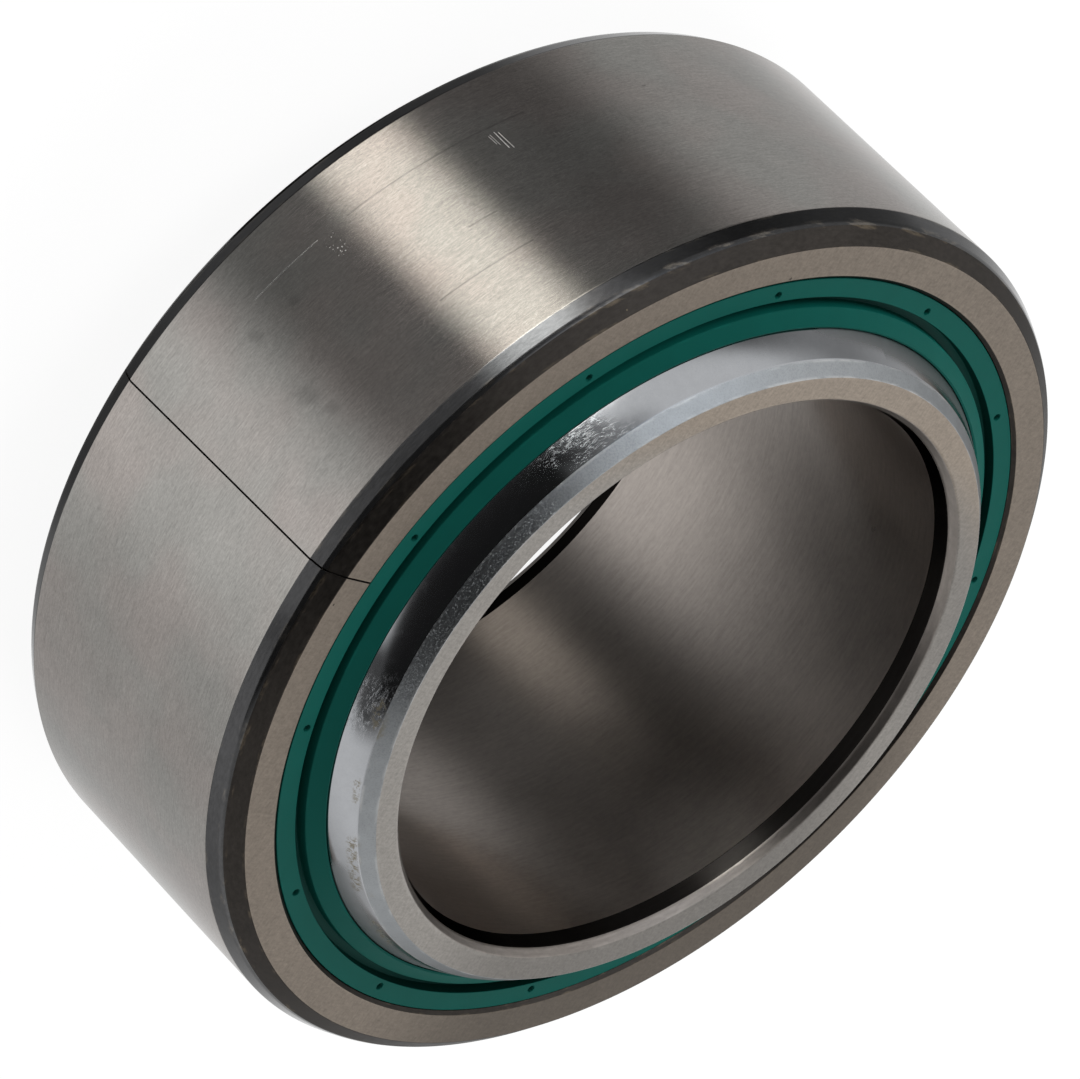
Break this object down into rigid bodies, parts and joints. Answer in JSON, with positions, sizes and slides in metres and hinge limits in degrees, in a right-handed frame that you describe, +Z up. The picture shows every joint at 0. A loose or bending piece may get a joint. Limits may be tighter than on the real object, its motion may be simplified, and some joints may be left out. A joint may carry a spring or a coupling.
{
  "type": "spherical plain bearing",
  "caption": "Sealed spherical plain bearing: a ball-shaped inner ring with a straight bore swivels and tilts in a fractured outer ring behind green lip seals.",
  "frame": {"origin": "centre of the ball, on the bore axis midway between the inner ring's end faces", "axes": "+Z up along the bore axis, with the bearing standing on the inner ring's lower end; -Y towards the outer ring's fracture"},
  "size_m": [0.062, 0.062, 0.028],
  "materials": {
    "ground_steel": "ground, with blackened edges",
    "liner_fabric": "resin-bonded weave",
    "plated_steel": "hard plated ball, ground bore and ends",
    "green_seal": "matt moulded"
  },
  "bodies": {
    "shaft_side": {"inner_ring": "plated_steel"},
    "seals": {"upper_seal": "green_seal", "lower_seal": "green_seal"},
    "housing_side": {"outer_ring": "ground_steel", "sliding_liner": "liner_fabric"}
  },
  "joints": [
    {"name": "tilt", "type": "hinge", "parent": "shaft_side", "child": "seals", "pos_m": [0, 0, 0], "axis": [1, 0, 0], "range_deg": [-6, 6]},
    {"name": "swivel", "type": "hinge", "parent": "seals", "child": "housing_side", "pos_m": [0, 0, 0], "axis": [0, 0, 1], "continuous": true}
  ]
}
